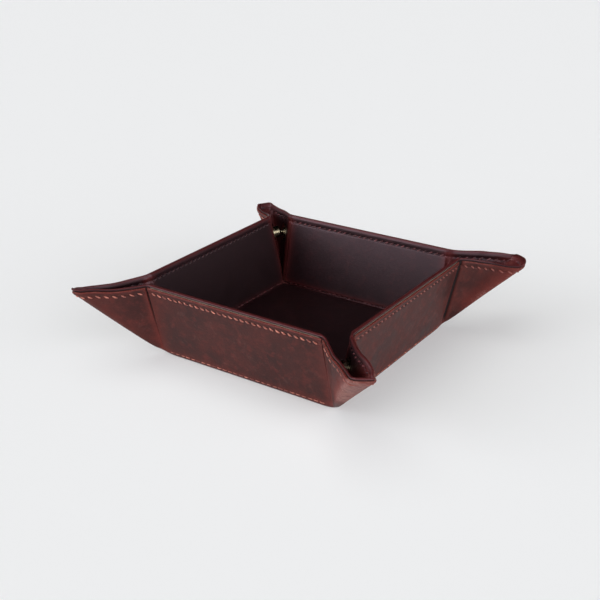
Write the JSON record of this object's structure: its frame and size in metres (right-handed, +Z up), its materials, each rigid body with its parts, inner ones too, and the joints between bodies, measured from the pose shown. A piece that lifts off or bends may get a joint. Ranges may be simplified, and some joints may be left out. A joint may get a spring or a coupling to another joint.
{
  "type": "valet tray",
  "caption": "Folding leather valet tray: a square floor with leaning stiffened walls and corners pinched into snapped ears; it opens flat.",
  "frame": {"origin": "centre of the underside of the floor, on the surface the tray stands on", "axes": "+Z up, -Y towards the front wall, +X towards the right wall"},
  "size_m": [0.2108, 0.2108, 0.0524],
  "materials": {
    "cover_leather": "burgundy grain leather, waxed",
    "lining_leather": "dark brown grain leather, waxed",
    "board": "plain grey board",
    "thread": "waxed sewing thread",
    "brass": "polished, slightly dulled"
  },
  "bodies": {
    "base": {"base_cover": "cover_leather", "base_board": "board", "base_lining": "lining_leather", "base_thread": "thread"},
    "wall_front": {"wall_front_cover": "cover_leather", "wall_front_board": "board", "wall_front_lining": "lining_leather", "wall_front_thread": "thread"},
    "wall_right": {"wall_right_cover": "cover_leather", "wall_right_board": "board", "wall_right_lining": "lining_leather", "wall_right_thread": "thread"},
    "wall_back": {"wall_back_cover": "cover_leather", "wall_back_board": "board", "wall_back_lining": "lining_leather", "wall_back_thread": "thread"},
    "wall_left": {"wall_left_cover": "cover_leather", "wall_left_board": "board", "wall_left_lining": "lining_leather", "wall_left_thread": "thread"},
    "ear_front_right_tip": {"ear_front_right_tip_cover": "cover_leather", "ear_front_right_tip_lining": "lining_leather"},
    "ear_front_right_cheek_one": {"ear_front_right_cheek_one_cover": "cover_leather", "ear_front_right_cheek_one_lining": "lining_leather", "ear_front_right_snap_stud": "brass", "ear_front_right_snap_stud_rivet": "brass"},
    "ear_front_right_cheek_two": {"ear_front_right_cheek_two_cover": "cover_leather", "ear_front_right_cheek_two_lining": "lining_leather", "ear_front_right_snap_socket": "brass", "ear_front_right_snap_socket_rivet": "brass"},
    "ear_right_back_tip": {"ear_right_back_tip_cover": "cover_leather", "ear_right_back_tip_lining": "lining_leather"},
    "ear_right_back_cheek_one": {"ear_right_back_cheek_one_cover": "cover_leather", "ear_right_back_cheek_one_lining": "lining_leather", "ear_right_back_snap_stud": "brass", "ear_right_back_snap_stud_rivet": "brass"},
    "ear_right_back_cheek_two": {"ear_right_back_cheek_two_cover": "cover_leather", "ear_right_back_cheek_two_lining": "lining_leather", "ear_right_back_snap_socket": "brass", "ear_right_back_snap_socket_rivet": "brass"},
    "ear_back_left_tip": {"ear_back_left_tip_cover": "cover_leather", "ear_back_left_tip_lining": "lining_leather"},
    "ear_back_left_cheek_one": {"ear_back_left_cheek_one_cover": "cover_leather", "ear_back_left_cheek_one_lining": "lining_leather", "ear_back_left_snap_stud": "brass", "ear_back_left_snap_stud_rivet": "brass"},
    "ear_back_left_cheek_two": {"ear_back_left_cheek_two_cover": "cover_leather", "ear_back_left_cheek_two_lining": "lining_leather", "ear_back_left_snap_socket": "brass", "ear_back_left_snap_socket_rivet": "brass"},
    "ear_left_front_tip": {"ear_left_front_tip_cover": "cover_leather", "ear_left_front_tip_lining": "lining_leather"},
    "ear_left_front_cheek_one": {"ear_left_front_cheek_one_cover": "cover_leather", "ear_left_front_cheek_one_lining": "lining_leather", "ear_left_front_snap_stud": "brass", "ear_left_front_snap_stud_rivet": "brass"},
    "ear_left_front_cheek_two": {"ear_left_front_cheek_two_cover": "cover_leather", "ear_left_front_cheek_two_lining": "lining_leather", "ear_left_front_snap_socket": "brass", "ear_left_front_snap_socket_rivet": "brass"}
  },
  "joints": [
    {"name": "wall_front_fold", "type": "hinge", "parent": "base", "child": "wall_front", "pos_m": [0, -0.065, 0.0012], "axis": [1, 0, 0], "range_deg": [0, 77]},
    {"name": "wall_right_fold", "type": "hinge", "parent": "base", "child": "wall_right", "pos_m": [0.065, 0, 0.0012], "axis": [0, 1, 0], "range_deg": [0, 77]},
    {"name": "wall_back_fold", "type": "hinge", "parent": "base", "child": "wall_back", "pos_m": [0, 0.065, 0.0012], "axis": [-1, 0, 0], "range_deg": [0, 77]},
    {"name": "wall_left_fold", "type": "hinge", "parent": "base", "child": "wall_left", "pos_m": [-0.065, 0, 0.0012], "axis": [0, -1, 0], "range_deg": [0, 77]},
    {"name": "ear_front_right_tip_fold", "type": "hinge", "parent": "base", "child": "ear_front_right_tip", "pos_m": [0.065, -0.065, 0.0012], "axis": [0.7071, 0.7071, 0], "range_deg": [0, 39.76]},
    {"name": "ear_front_right_cheek_one_fold", "type": "hinge", "parent": "ear_front_right_tip", "child": "ear_front_right_cheek_one", "pos_m": [0.065, -0.065, 0.0012], "axis": [0.4929, -0.5916, 0.638], "range_deg": [0, 80.64]},
    {"name": "ear_front_right_cheek_two_fold", "type": "hinge", "parent": "ear_front_right_tip", "child": "ear_front_right_cheek_two", "pos_m": [0.065, -0.065, 0.0012], "axis": [-0.5916, 0.4929, -0.638], "range_deg": [0, 80.64]},
    {"name": "ear_right_back_tip_fold", "type": "hinge", "parent": "base", "child": "ear_right_back_tip", "pos_m": [0.065, 0.065, 0.0012], "axis": [-0.7071, 0.7071, 0], "range_deg": [0, 39.76]},
    {"name": "ear_right_back_cheek_one_fold", "type": "hinge", "parent": "ear_right_back_tip", "child": "ear_right_back_cheek_one", "pos_m": [0.065, 0.065, 0.0012], "axis": [0.5916, 0.4929, 0.638], "range_deg": [0, 80.64]},
    {"name": "ear_right_back_cheek_two_fold", "type": "hinge", "parent": "ear_right_back_tip", "child": "ear_right_back_cheek_two", "pos_m": [0.065, 0.065, 0.0012], "axis": [-0.4929, -0.5916, -0.638], "range_deg": [0, 80.64]},
    {"name": "ear_back_left_tip_fold", "type": "hinge", "parent": "base", "child": "ear_back_left_tip", "pos_m": [-0.065, 0.065, 0.0012], "axis": [-0.7071, -0.7071, 0], "range_deg": [0, 39.76]},
    {"name": "ear_back_left_cheek_one_fold", "type": "hinge", "parent": "ear_back_left_tip", "child": "ear_back_left_cheek_one", "pos_m": [-0.065, 0.065, 0.0012], "axis": [-0.4929, 0.5916, 0.638], "range_deg": [0, 80.64]},
    {"name": "ear_back_left_cheek_two_fold", "type": "hinge", "parent": "ear_back_left_tip", "child": "ear_back_left_cheek_two", "pos_m": [-0.065, 0.065, 0.0012], "axis": [0.5916, -0.4929, -0.638], "range_deg": [0, 80.64]},
    {"name": "ear_left_front_tip_fold", "type": "hinge", "parent": "base", "child": "ear_left_front_tip", "pos_m": [-0.065, -0.065, 0.0012], "axis": [0.7071, -0.7071, 0], "range_deg": [0, 39.76]},
    {"name": "ear_left_front_cheek_one_fold", "type": "hinge", "parent": "ear_left_front_tip", "child": "ear_left_front_cheek_one", "pos_m": [-0.065, -0.065, 0.0012], "axis": [-0.5916, -0.4929, 0.638], "range_deg": [0, 80.64]},
    {"name": "ear_left_front_cheek_two_fold", "type": "hinge", "parent": "ear_left_front_tip", "child": "ear_left_front_cheek_two", "pos_m": [-0.065, -0.065, 0.0012], "axis": [0.4929, 0.5916, -0.638], "range_deg": [0, 80.64]}
  ],
  "couplings": [
    {"joint": "wall_right_fold", "follows": "wall_front_fold", "ratio": 1},
    {"joint": "wall_back_fold", "follows": "wall_front_fold", "ratio": 1},
    {"joint": "wall_left_fold", "follows": "wall_front_fold", "ratio": 1},
    {"joint": "ear_front_right_tip_fold", "follows": "wall_front_fold", "ratio": 0.51633},
    {"joint": "ear_front_right_cheek_one_fold", "follows": "wall_front_fold", "ratio": 1.0473},
    {"joint": "ear_front_right_cheek_two_fold", "follows": "wall_front_fold", "ratio": 1.0473},
    {"joint": "ear_right_back_tip_fold", "follows": "wall_front_fold", "ratio": 0.51633},
    {"joint": "ear_right_back_cheek_one_fold", "follows": "wall_front_fold", "ratio": 1.0473},
    {"joint": "ear_right_back_cheek_two_fold", "follows": "wall_front_fold", "ratio": 1.0473},
    {"joint": "ear_back_left_tip_fold", "follows": "wall_front_fold", "ratio": 0.51633},
    {"joint": "ear_back_left_cheek_one_fold", "follows": "wall_front_fold", "ratio": 1.0473},
    {"joint": "ear_back_left_cheek_two_fold", "follows": "wall_front_fold", "ratio": 1.0473},
    {"joint": "ear_left_front_tip_fold", "follows": "wall_front_fold", "ratio": 0.51633},
    {"joint": "ear_left_front_cheek_one_fold", "follows": "wall_front_fold", "ratio": 1.0473},
    {"joint": "ear_left_front_cheek_two_fold", "follows": "wall_front_fold", "ratio": 1.0473}
  ]
}
